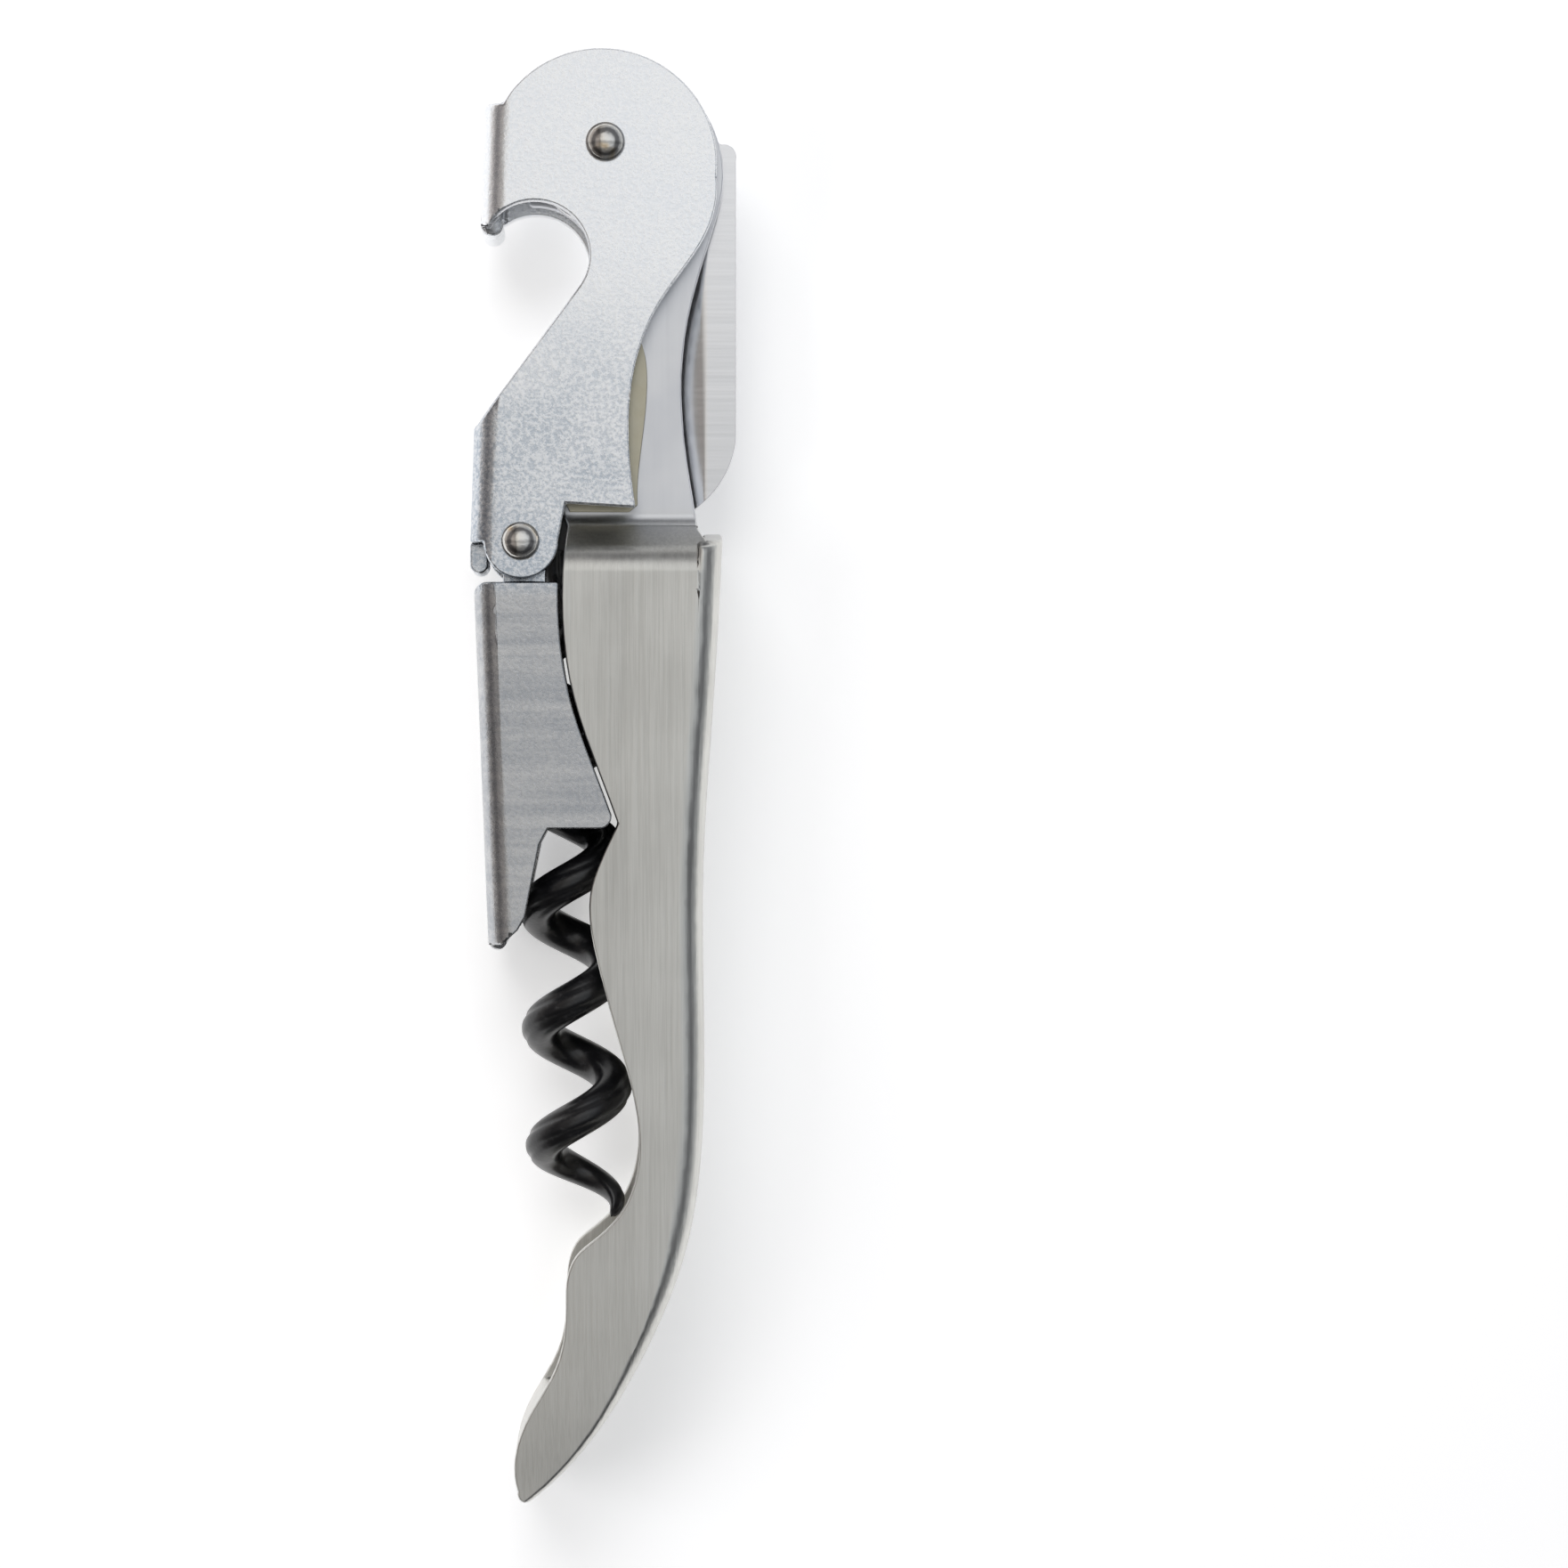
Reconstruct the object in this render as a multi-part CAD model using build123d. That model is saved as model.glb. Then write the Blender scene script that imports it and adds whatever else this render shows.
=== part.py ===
from build123d import *
from math import cos, hypot, pi, radians, sin, sqrt
import os

# Lever corkscrew, closed and lying on its side.  Millimetres.
# While it is modelled the origin is the centre of the lever rivet: +X points to the back of the
# grip, where the knife folds, +Y to the head, +Z across the thickness, up from the table.

# ---- driving dimensions -------------------------------------------------------------------
# grip
GRIP_LENGTH = 80.3        # from the shoulder to the nose
GRIP_WIDTH = 13.4         # across the two side walls
GRIP_SHEET = 1.6          # sheet of grip and frame
SHOULDER_Y = -33.5        # top of the grip's back wall at its sides
BACK_CROWN = 1.0          # how much higher the back wall's top edge is in the middle
BACK_RADIUS = 2.1         # bend between back wall and side walls
NOSE_NARROWING = 1.05     # how far each side leans in at the nose
NOSE_TAPER_START = 0.68   # share of the grip's length where that begins
JOGGLE_TOP = 1.5          # start of the flare above the shoulder
JOGGLE_BOTTOM = 1.4       # end of the flare below the shoulder
JOGGLE_BEND = 2.2         # radius of the flare's two bends, at mid-sheet
# frame (the pinched-in head of the grip)
HEAD_RADIUS = 7.8
LUG_RADIUS = 2.8
# rivets
LEVER_RIVET_R = 1.3
LEVER_HEAD_R = 1.65
WORM_RIVET_R = 1.2
WORM_HEAD_R = 1.5
HINGE_RIVET_R = 1.1
HINGE_HEAD_R = 1.6
HEAD_DOME = 1.1           # height of the lever and hinge rivets' heads
RUNNING = 0.05            # radial running clearance on every pivot
AXIAL = 0.02              # clearance beside the tang
HEAD_CLEAR = 0.1          # under the lever and hinge rivets' heads, over the leaning cheeks
SIDE_PLAY = 0.12          # clearance beside the worm's eye
# thicknesses
KNIFE_THICK = 1.76
KNIFE_WASHER = 0.8
LEVER_WASHER = 0.8
LEVER_SHEET = 1.5
LINK_SHEET = 1.4
LEVER_BEND = 0.7          # inside radius of the levers' folds
LIP_RADIUS = 0.95         # curled lip of the bottle opener
BOOT_LIP_RADIUS = 0.75    # curled lip at the lower lever's tip
LIP_SINK = 0.2            # how far a curled lip runs into the folds beside it
LEAF_THICK = 0.4
LEAF_CLEAR = 0.1          # leaf's lower end to the start of the flare
STOP_PLATE = 1.0
# levers
LEVER_PLAY = 0.25         # between lever washer and lever cheek
LINK_PROUD = 0.3          # how far the levers stand proud of the grip at the hinge
HOOK_CENTRE = (-5.93, -9.5)
HOOK_RADIUS = 4.6
HOOK_SLOPE = 53.6         # direction of the straight below the hook, degrees
HOOK_STRAIGHT = 14.37
HOOK_MARGIN = 0.4         # the frame stays this far behind the hook's edge
HINGE = (-7.05, -33.46)
LOBE_RADIUS = 3.1
SHOULDER_GAP = 0.3        # between lobe and lower lever
EAR_RADIUS = 2.1
EAR_GAP = 0.25            # ear to the upper lever's cheek
EAR_NECK = 1.5            # the ear's neck, on the web's side of the hinge
WEB_END = 0.1             # the upper lever's web ends this far below the hinge
STOP_LONG = 2.9           # rolled stop at the web's end, before it is rolled
STOP_SET = (-3.55, -1.05)  # rolled stop's middle from the hinge
STOP_CLEAR = 0.65         # rolled stop to each ear
STOP_NOTCH = 1.6          # how deep the lower lever's web is cut back for the rolled stop
LINK_LENGTH = 33.6        # hinge to the lower lever's tip
LINK_CORNER = 1.1         # rounding of its shoulder
EDGE_GAP = 0.3            # lower lever's edge to the grip's front edge
STEP_Y = -57.4            # the lower lever's boot step
STEP_REACH = 0.5          # how far the boot step reaches out over the V
STEP_ROUND = 1.0          # rounding of the boot step's corner
# worm
WORM_PIVOT = (-4.2, -20.3)
WORM_TILT = 1.8
WIRE_R = 1.6
WORM_PITCH = 10.0
WORM_GAP = 0.5            # worm to the channel's side walls
WORM_HEAD_GAP = 0.49      # worm rivet's head to the upper lever's cheek
EYE_RADIUS = 2.6
SHANK_WIDE = 2.9          # the flattened shank, seen from the side
HELIX_TOP = 20.7          # eye to the first full turn
LEAD_IN = 5.2             # length of the bend from the axis out to the first turn
NOSE_ROOM = 23.59         # worm's tip to the nose
TIP_ANGLE = 392.0         # where the tip stands round the worm's axis
TIP_TAPER = 220.0         # how far round the wire is ground to its point
TIP_RADIUS = 0.12
TIP_RINGS = 12            # sections that the ground point is drawn through
# knife
TANG_RADIUS = 6.3
SPINE_X = 11.05
EDGE_X = 4.4
BLADE_TOP = 0.55          # the blade's shoulder beside the lever rivet
GRIND_X = 8.7
BELLY_X = 4.4             # the edge near the tang
TIP_X = 5.1               # where the closed knife's tip stands
GRIND_START = 1.2         # tang to the start of the grind
GRIND_MIDDLE = 0.84       # blade's thickness half way down the grind
GRIND_EDGE = 0.24         # and just beyond the cutting edge
TIP_CLEAR = 0.9           # knife tip to the back wall's top edge, along its swing
PLATE_CLEAR = 0.25        # stop plate to the knife tip's swing

# ---- sizes that follow --------------------------------------------------------------------
grip_half = GRIP_WIDTH / 2
channel_half = grip_half - GRIP_SHEET
nose_y = SHOULDER_Y - GRIP_LENGTH
gap_half = (KNIFE_THICK + KNIFE_WASHER + 2 * AXIAL) / 2
frame_half = gap_half + GRIP_SHEET
lever_half_at_rivet = frame_half + LEVER_WASHER + LEVER_PLAY + LEVER_SHEET
lever_half_at_hinge = grip_half + LINK_PROUD
worm_radius = channel_half - WORM_GAP
worm_length = WORM_PIVOT[1] - nose_y - NOSE_ROOM
ear_out = lever_half_at_hinge - LEVER_SHEET - EAR_GAP
ear_in = ear_out - LINK_SHEET
back_x = 9.87             # back wall's outer face at the shoulder
wall_x = back_x - BACK_RADIUS
link_top = HINGE[1] - LOBE_RADIUS - SHOULDER_GAP
link_tip = HINGE[1] - LINK_LENGTH
knife_low = -gap_half + AXIAL
knife_high = knife_low + KNIFE_THICK
knife_reach = hypot(back_x - GRIP_SHEET, SHOULDER_Y + BACK_CROWN) - TIP_CLEAR
TALL = 2 * grip_half + 10  # taller than anything, for cutters


def grip_point(x, share):
    """A point of the grip's outline: x, and how far down from the shoulder as a share."""
    return (x, SHOULDER_Y - share * GRIP_LENGTH)


def slab(face, low, high):
    """A flat outline made solid between two heights."""
    return Pos(0, 0, low) * extrude(face, high - low)


def disc(centre, radius):
    return Pos(*centre) * Circle(radius)


def polygon(*points):
    return make_face(Polyline(*points, close=True))


def hole(centre, radius):
    return Pos(*centre) * Cylinder(radius, TALL)


def both_sides(solid):
    """A near-side solid and its mirror image on the far side."""
    return solid + mirror(solid, Plane.XY)


def lever_web_x(y):
    """Outer face of the upper lever's web, which leans slightly outwards going down."""
    return -10.26 + 0.031 * y


def lever_half(y):
    """Half of the upper lever's outer width: its cheeks spread from the rivet to the hinge."""
    return lever_half_at_rivet + (lever_half_at_hinge - lever_half_at_rivet) * y / HINGE[1]


def link_web_x(y):
    """Outer face of the lower lever's web, which leans inwards going down."""
    return HINGE[0] - 3.95 + 0.04 * (link_top - y)


# ---- outlines seen from the side ------------------------------------------------------------
def back_curve():
    """The grip's back, from the shoulder to the nose."""
    return Spline(
        (back_x, SHOULDER_Y + JOGGLE_TOP), grip_point(9.0, 0.177), grip_point(8.2, 0.347),
        grip_point(8.16, 0.614), grip_point(6.7, 0.741), grip_point(3.3, 0.846),
        grip_point(-1.85, 0.9465), grip_point(-6.0, 0.996),
    )


def front_curve():
    """The grip's front, from the nose up to the tip of the V."""
    return Spline(
        grip_point(-7.3, 0.987), grip_point(-7.6, 0.963), grip_point(-6.4, 0.909),
        grip_point(-4.15, 0.859), grip_point(-3.3, 0.798), grip_point(-3.25, 0.77),
        grip_point(-2.5, 0.743), grip_point(-0.6, 0.722), grip_point(1.4, 0.695),
        grip_point(2.55, 0.66), grip_point(2.8, 0.614), grip_point(1.26, 0.5255),
        grip_point(-0.67, 0.436), grip_point(-1.2, 0.361), grip_point(-0.45, 0.3325),
        grip_point(1.04, 0.2927),
    )


def inside(curve, start, end, count):
    """Part of an outline's curve moved in by the sheet, to the right of its direction."""
    points = []
    for step in range(count):
        place = start + (end - start) * step / (count - 1)
        along = curve % place
        points.append(curve @ place + GRIP_SHEET * Vector(along.Y, -along.X))
    return Spline(*points)


def grip_face():
    """Grip seen from the side: back curve, blunt nose, wavy front with its V."""
    back = back_curve()
    nose = ThreePointArc(grip_point(-6.0, 0.996), grip_point(-6.9, 0.998), grip_point(-7.3, 0.987))
    front = front_curve()
    bay = Spline(
        grip_point(1.04, 0.2927), grip_point(-1.2, 0.218), grip_point(-2.6, 0.165),
        grip_point(-3.6, 0.081), (-3.2, SHOULDER_Y + JOGGLE_TOP),
    )
    return make_face(back + nose + front + bay + Line(bay @ 1, back @ 0))


def hook_face(margin=0.0):
    """The bottle-opener's opening, grown by a margin: a round pocket and a straight run-out."""
    slope = radians(HOOK_SLOPE)
    along = (cos(slope), sin(slope))
    reach = HOOK_RADIUS + margin
    touch = (HOOK_CENTRE[0] + reach * along[1], HOOK_CENTRE[1] - reach * along[0])
    foot = (touch[0] - HOOK_STRAIGHT * along[0], touch[1] - HOOK_STRAIGHT * along[1])
    lip = HOOK_CENTRE[1] + 0.565 * HOOK_RADIUS
    run_out = polygon(touch, foot, (-20, foot[1]), (-20, lip), (-9.7, lip), HOOK_CENTRE)
    return disc(HOOK_CENTRE, reach) + run_out


def frame_face():
    """Frame cheek: round head, bulged rear edge, lug for the worm, and the flare's top."""
    rear = Spline(
        (5.0, 5.99), (8.6, 2.6), (9.94, -2.5), (8.8, -7.8), (6.8, -15.4), (6.4, -20.6),
        (7.1, -28.0), (7.8, SHOULDER_Y + 1.2),
    )
    low = SHOULDER_Y - JOGGLE_BOTTOM - 3
    high = SHOULDER_Y + JOGGLE_TOP
    left = WORM_PIVOT[0] - LUG_RADIUS
    front = Spline((-3.2, high), (-5.0, -26.5), (left, WORM_PIVOT[1] - 0.7))
    rim = Polyline(rear @ 1, (8.5, SHOULDER_Y), (wall_x, SHOULDER_Y - 1), (wall_x, low),
                   (0, low), front @ 0)
    close = Polyline(front @ 1, (left, -18.0), (-1.0, -14.0), (-3.0, 0.0), rear @ 0)
    cheek = make_face(rear + rim + front + close)
    cheek += disc((0, 0), HEAD_RADIUS) + disc(WORM_PIVOT, LUG_RADIUS)
    cheek -= hook_face(HOOK_MARGIN)
    return cheek + (grip_face() & polygon((-20, low), (wall_x, low), (wall_x, high), (-20, high)))


def upper_lever_face():
    """Upper lever: round head, waisted shank, boot step, hinge lobe."""
    right = Spline(
        (9.3, -2.9), (8.0, -8.4), (4.45, -13.6), (2.45, -18.8), (1.93, -24.0), (2.5, -30.6),
    )
    rest = Polyline(right @ 1, (-3.34, -30.25), (HINGE[0] + LOBE_RADIUS, HINGE[1]),
                    (-20, HINGE[1] - WEB_END), (-20, 3.26), (-6.0, 3.26), right @ 0)
    face = make_face(right + rest)
    face += disc((-0.3, -1.7), 9.64) + disc(HINGE, LOBE_RADIUS)
    return face - hook_face()


def lower_lever_face():
    """Lower lever below its shoulder: its edge keeps a gap to the grip's front edge."""
    corner = link_web_x(link_top)
    face = polygon(
        (corner, link_top), (-3.9, link_top), (3, link_top - 4), (3, STEP_Y + 3),
        (STEP_REACH, STEP_Y + 2), (STEP_REACH, STEP_Y), (-4.8, STEP_Y),
        (-5.5, STEP_Y - 1.3), (-6.7, link_tip + 2.3), (-7.3, link_tip + 1.2),
        (-8.6, link_tip), (-20, link_tip), (-20, link_top - 3), (corner, link_top - 3),
    )
    face = fillet(face.vertices().sort_by_distance((corner, link_top, 0))[0], LINK_CORNER)
    face = fillet(face.vertices().sort_by_distance((STEP_REACH, STEP_Y, 0))[0], STEP_ROUND)
    return face - Pos(-EDGE_GAP, 0) * grip_face()


# ---- folded sheet ---------------------------------------------------------------------------
def folded_channel(top, bottom, sheet, bend):
    """A U-shaped sheet with its web on the -X side.  top and bottom are each
    (y, x of the web's outer face, half of the outer width)."""
    def block(inset, radius):
        ends = []
        for y, web_x, half in (top, bottom):
            width = 2 * (half - inset)
            depth = 40
            section = RectangleRounded(depth, width, radius)
            plane = Plane((web_x + inset + depth / 2, y, 0), x_dir=(1, 0, 0), z_dir=(0, 1, 0))
            ends.append(plane * section)
        return loft(ends, ruled=True)
    return block(0, bend + sheet) - block(sheet, bend)


def rivet(centre, shaft_r, head_r, low, high, height=HEAD_DOME):
    """A pin between two heights with a domed head beyond each end."""
    def dome(side):
        ball_r = (head_r ** 2 + height ** 2) / (2 * height)
        ball = Pos(0, 0, height - ball_r) * Sphere(ball_r)
        cap = ball & Pos(0, 0, ball_r) * Box(3 * ball_r, 3 * ball_r, 2 * ball_r)
        return cap if side > 0 else mirror(cap, Plane.XY)
    pin = Pos(0, 0, (low + high) / 2) * Cylinder(shaft_r, high - low)
    pin += Pos(0, 0, high) * dome(1)
    pin += Pos(0, 0, low) * dome(-1)
    return Pos(*centre) * pin


def washer(radius, bore, low, thick):
    return slab(Circle(radius) - Circle(bore), low, low + thick)


# ---- pieces ----------------------------------------------------------------------------------
def across(outline):
    """An outline drawn as (z, y), made solid right across the grip along X."""
    plane = Plane(origin=(-30, 0, 0), x_dir=(0, 0, 1), z_dir=(-1, 0, 0))
    return extrude(plane * outline, -60)


def envelope(half):
    """The grip seen on edge: parallel sides that curve in towards the nose."""
    start = SHOULDER_Y - NOSE_TAPER_START * GRIP_LENGTH
    end = SHOULDER_Y - 1.05 * GRIP_LENGTH
    share = (1.05 - NOSE_TAPER_START) / (1 - NOSE_TAPER_START)
    lean = NOSE_NARROWING * share ** 2
    side = TangentArc((half, start), (half - lean, end), tangent=(0, -1))
    far = TangentArc((-half, start), (lean - half, end), tangent=(0, -1))
    outline = side + Line(side @ 1, far @ 1) + far
    outline += Polyline(far @ 0, (-half, 0), (half, 0), side @ 0)
    return across(make_face(outline))


def grip_shell():
    """The grip's open channel: rounded back, closed nose, crowned top edge on the back wall."""
    # the bend is rounded on a block that runs on past the nose, which is then cut to the outline
    back = back_curve()
    beyond = back @ 1 + 10 * (back % 1)
    block = make_face(back + Polyline(back @ 1, beyond, (-40, beyond.Y), (-40, 0), (back_x, 0), back @ 0))
    block = slab(block, -grip_half, grip_half)
    bends = block.edges().filter_by(GeomType.BSPLINE)
    outer = fillet(bends, BACK_RADIUS) & slab(grip_face(), -TALL, TALL) & envelope(grip_half)
    wall = inside(back, 0, 0.95, 14)
    bow = inside(front_curve(), 0.05, 0.16, 5)
    rim = Polyline(bow @ 1, (-20, (bow @ 1).Y), (-20, 0), ((wall @ 0).X, 0), wall @ 0)
    hollow = slab(make_face(wall + Line(wall @ 1, bow @ 0) + bow + rim), -channel_half, channel_half)
    shell = outer - (hollow & envelope(channel_half))
    step = SHOULDER_Y - JOGGLE_BOTTOM - 0.6 * JOGGLE_BEND
    shell -= slab(polygon((-20, step), (wall_x, step), (wall_x, 0), (-20, 0)), -TALL, TALL)
    crown = ThreePointArc((-grip_half, SHOULDER_Y - 0.4), (0, SHOULDER_Y + BACK_CROWN),
                          (grip_half, SHOULDER_Y - 0.4))
    above = crown + Polyline(crown @ 1, (grip_half + 1, SHOULDER_Y - 0.4), (grip_half + 1, 0),
                             (-grip_half - 1, 0), (-grip_half - 1, SHOULDER_Y - 0.4), crown @ 0)
    return shell - across(make_face(above))


def frame_cheek():
    """Near cheek: flat beside the knife, then flared out into the grip's side wall."""
    middle = frame_half - GRIP_SHEET / 2
    wall = grip_half - GRIP_SHEET / 2
    path = FilletPolyline(
        (middle, HEAD_RADIUS + 3), (middle, SHOULDER_Y + JOGGLE_TOP),
        (wall, SHOULDER_Y - JOGGLE_BOTTOM), (wall, SHOULDER_Y - JOGGLE_BOTTOM - 2.6), radius=JOGGLE_BEND,
    )
    return across(trace(path, GRIP_SHEET)) & slab(frame_face(), -TALL, TALL)


def handle_body():
    body = grip_shell() + both_sides(frame_cheek())
    return body - hole((0, 0), LEVER_RIVET_R) - hole(WORM_PIVOT, WORM_RIVET_R)


def blade_stop_plate(body):
    """Thin plate on the back wall's inner face, just beyond the knife tip's reach."""
    top = -knife_reach - PLATE_CLEAR
    rim = back_x - GRIP_SHEET / 2
    outline = polygon((2.6, top), (rim, top), (rim, top - 9), (6.0, top - 9), (2.6, top - 3))
    return slab(outline, -STOP_PLATE / 2, STOP_PLATE / 2) - body


def friction_leaf():
    """Thin spring plate on the near cheek, held by the worm rivet."""
    # the flare's bend reaches about half its radius above the flare
    low = SHOULDER_Y + JOGGLE_TOP + JOGGLE_BEND / 2 + LEAF_CLEAR
    edge = Spline((1.2, -14.3), (3.1, -16.8), (3.5, -20.3), (3.1, -24.7), (2.7, low + 0.6))
    rest = Polyline(edge @ 1, (2.0, low), (-3.0, low), (-7.5, -22.0), (-7.5, -17.0), edge @ 0)
    leaf = make_face(edge + rest) & frame_face()
    return slab(leaf, frame_half, frame_half + LEAF_THICK) - hole(WORM_PIVOT, WORM_RIVET_R)


def upper_lever():
    """Round head, opener with a curled lip, waisted shank, and a rolled stop between two lobes."""
    top, bottom = HEAD_RADIUS + 4, HINGE[1] - 7
    body = folded_channel((top, lever_web_x(top), lever_half(top)),
                          (bottom, lever_web_x(bottom), lever_half(bottom)), LEVER_SHEET, LEVER_BEND)
    body &= slab(upper_lever_face(), -TALL, TALL)
    # below the web's end only the two lobes are left, so that the ears can turn between them
    inner_x = lever_web_x(bottom) + LEVER_SHEET + LEVER_BEND
    between = ear_out + EAR_GAP / 2
    web_end = HINGE[1] - WEB_END
    body -= slab(polygon((-20, web_end), (inner_x, web_end), (inner_x, bottom), (-20, bottom)),
                 -between, between)
    lip_y = HOOK_CENTRE[1] + 0.6 * HOOK_RADIUS
    lip = Pos(lever_web_x(lip_y) + LIP_RADIUS, lip_y) * Cylinder(
        LIP_RADIUS, 2 * (lever_half(lip_y) - LEVER_SHEET - LEVER_BEND + LIP_SINK))
    stop_width = 2 * (ear_in - STOP_CLEAR)
    stop = Pos(HINGE[0] + STOP_SET[0], HINGE[1] + STOP_SET[1], -stop_width / 2) * extrude(
        SlotOverall(STOP_LONG, LEVER_SHEET, rotation=90), stop_width)
    body += lip + stop
    return body - hole((0, 0), LEVER_RIVET_R + RUNNING) - hole(HINGE, HINGE_RIVET_R)


def lower_lever():
    """Ears on the hinge rivet, joggled out to the cheeks, and a curled lip at the boot's tip."""
    high, low = link_top + 2, link_tip - 2
    body = folded_channel((high, link_web_x(high), lever_half_at_hinge),
                          (low, link_web_x(low), lever_half_at_hinge), LINK_SHEET, LEVER_BEND)
    body &= slab(lower_lever_face(), -TALL, TALL)
    # the web is cut back between the ears, so that the rolled stop can pass
    left, right = HINGE[0] - EAR_NECK, HINGE[0] + EAR_RADIUS
    notch = link_top - STOP_NOTCH
    body -= slab(polygon((-20, high), (left, high), (left, notch), (-20, notch)), -ear_in, ear_in)
    shoulder = link_top - LINK_SHEET
    neck = polygon((left, HINGE[1]), (right, HINGE[1]), (right, shoulder), (left, shoulder))
    ear = slab(disc(HINGE, EAR_RADIUS) + neck, ear_in, ear_out)
    joggle = slab(polygon((left, link_top), (right, link_top), (right, shoulder), (left, shoulder)),
                  ear_in, lever_half_at_hinge - LINK_SHEET / 3)
    lip = Pos(link_web_x(link_tip) + BOOT_LIP_RADIUS + 0.05, link_tip + 0.3) * Cylinder(
        BOOT_LIP_RADIUS, 2 * (lever_half_at_hinge - LINK_SHEET - LEVER_BEND + LIP_SINK))
    body += both_sides(ear + joggle) + lip
    return body - hole(HINGE, HINGE_RIVET_R + RUNNING)


def knife_blade():
    """Tang on the lever rivet and a blade ground hollow from both sides."""
    tip = (TIP_X, -sqrt(knife_reach ** 2 - TIP_X ** 2))
    spine = Spline((SPINE_X, -24.0), (10.4, -26.9), (8.6, -29.5), tip, tangents=((0, -1), (-1, -0.9)),
                   tangent_scalars=(1, 1))
    corner = ThreePointArc((9.8, BLADE_TOP), (10.75, BLADE_TOP - 0.25), (SPINE_X, BLADE_TOP - 1.25))
    edge = Spline(tip, (EDGE_X, -26.0), (EDGE_X, -14.0), (BELLY_X, -4.5))
    outline = corner + Line(corner @ 1, spine @ 0) + spine + edge
    outline += Polyline(edge @ 1, (0, 0), (4.0, 4.87), corner @ 0)
    plate = make_face(outline) + disc((0, 0), TANG_RADIUS)
    blade = slab(plate, knife_low, knife_high)
    middle = (knife_low + knife_high) / 2
    beyond = EDGE_X - 2
    for side in (1, -1):
        face = middle + side * KNIFE_THICK / 2
        hollow = ThreePointArc((GRIND_X, face), ((GRIND_X + EDGE_X) / 2, middle + side * GRIND_MIDDLE / 2),
                               (beyond, middle + side * GRIND_EDGE / 2))
        wedge = hollow + Polyline(hollow @ 1, (beyond, face + side), (GRIND_X, face + side), hollow @ 0)
        # drawn as (x, z); the plane's normal is -Y, so the grind runs down from the tang
        blade -= Pos(0, -TANG_RADIUS - GRIND_START) * extrude(Plane.XZ * make_face(wedge), 40)
    return blade - hole((0, 0), LEVER_RIVET_R + RUNNING)


def coil_ring(angle, wire_r=WIRE_R):
    """The wire's section on the worm's helix, which points down -Y from its eye and ends at TIP_ANGLE."""
    radius = worm_radius - WIRE_R
    depth = worm_length - (TIP_ANGLE - angle) / 360 * WORM_PITCH
    outward = Vector(cos(radians(angle)), 0, sin(radians(angle)))
    along = radius * Vector(-outward.Z, 0, outward.X) - Vector(0, WORM_PITCH / (2 * pi), 0)
    return Plane(origin=radius * outward - Vector(0, depth, 0), z_dir=along) * Circle(wire_r)


def worm():
    """Flattened eye and shank, then round wire: a curved lead-in, a right-handed helix, a ground point."""
    flat = 2 * (gap_half - SIDE_PLAY)
    # the round wire starts where the frame has widened into the grip
    round_top = WORM_PIVOT[1] - (SHOULDER_Y - 0.4)
    stem_top = Vector(0, -round_top, 0)
    start = TIP_ANGLE - 360 * (worm_length - HELIX_TOP) / WORM_PITCH
    first = coil_ring(start).face()
    lead = Spline(stem_top, Vector(0, LEAD_IN - HELIX_TOP, 0), first.center(),
                  tangents=((0, -1, 0), first.normal_at()))
    turns = Helix(WORM_PITCH, (TIP_ANGLE - TIP_TAPER - start) / 360 * WORM_PITCH, worm_radius - WIRE_R)
    turns = Pos(0, -HELIX_TOP, 0) * (Rot(90, 0, 0) * (Rot(0, 0, start) * turns))
    # one sweep along the joined path, so that lead-in and helix are one surface at any size
    section = Plane(origin=stem_top, z_dir=(0, -1, 0)) * Circle(WIRE_R)
    wire = sweep(section, path=Wire([lead.edge(), turns.edge()]))
    rings = []
    for step in range(TIP_RINGS):
        share = step / (TIP_RINGS - 1)
        ground = TIP_RADIUS + (WIRE_R - TIP_RADIUS) * sqrt(1 - share) * (1 - 0.06 * share)
        rings.append(coil_ring(TIP_ANGLE - TIP_TAPER * (1 - share), ground))
    overlap = WIRE_R / 2
    shank = Pos(0, -(round_top + overlap) / 2, 0) * Box(SHANK_WIDE, round_top + overlap, flat)
    screw = wire + loft(rings) + shank + Cylinder(EYE_RADIUS, flat)
    screw -= Cylinder(WORM_RIVET_R + RUNNING, TALL)
    return Pos(*WORM_PIVOT) * (Rot(0, 0, WORM_TILT) * screw)


body = handle_body()
lever_grip = lever_half_at_rivet + HEAD_CLEAR
hinge_grip = lever_half_at_hinge + HEAD_CLEAR
worm_grip = frame_half + LEAF_THICK
pieces = {
    "handle_body": body,
    "blade_stop_plate": blade_stop_plate(body),
    "friction_leaf": friction_leaf(),
    "lever_rivet": rivet((0, 0), LEVER_RIVET_R, LEVER_HEAD_R, -lever_grip, lever_grip),
    "worm_rivet": rivet(WORM_PIVOT, WORM_RIVET_R, WORM_HEAD_R, -frame_half, worm_grip,
                        lever_half(WORM_PIVOT[1]) - LEVER_SHEET - WORM_HEAD_GAP - worm_grip),
    "knife_washer": washer(3.2, LEVER_RIVET_R, gap_half - KNIFE_WASHER, KNIFE_WASHER),
    "lever_washer_near": washer(3.4, LEVER_RIVET_R, frame_half, LEVER_WASHER),
    "lever_washer_far": washer(3.4, LEVER_RIVET_R, -frame_half - LEVER_WASHER, LEVER_WASHER),
    "upper_lever": upper_lever(),
    "hinge_rivet": rivet(HINGE, HINGE_RIVET_R, HINGE_HEAD_R, -hinge_grip, hinge_grip),
    "lower_lever": lower_lever(),
    "worm": worm(),
    "knife_blade": knife_blade(),
}

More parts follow.
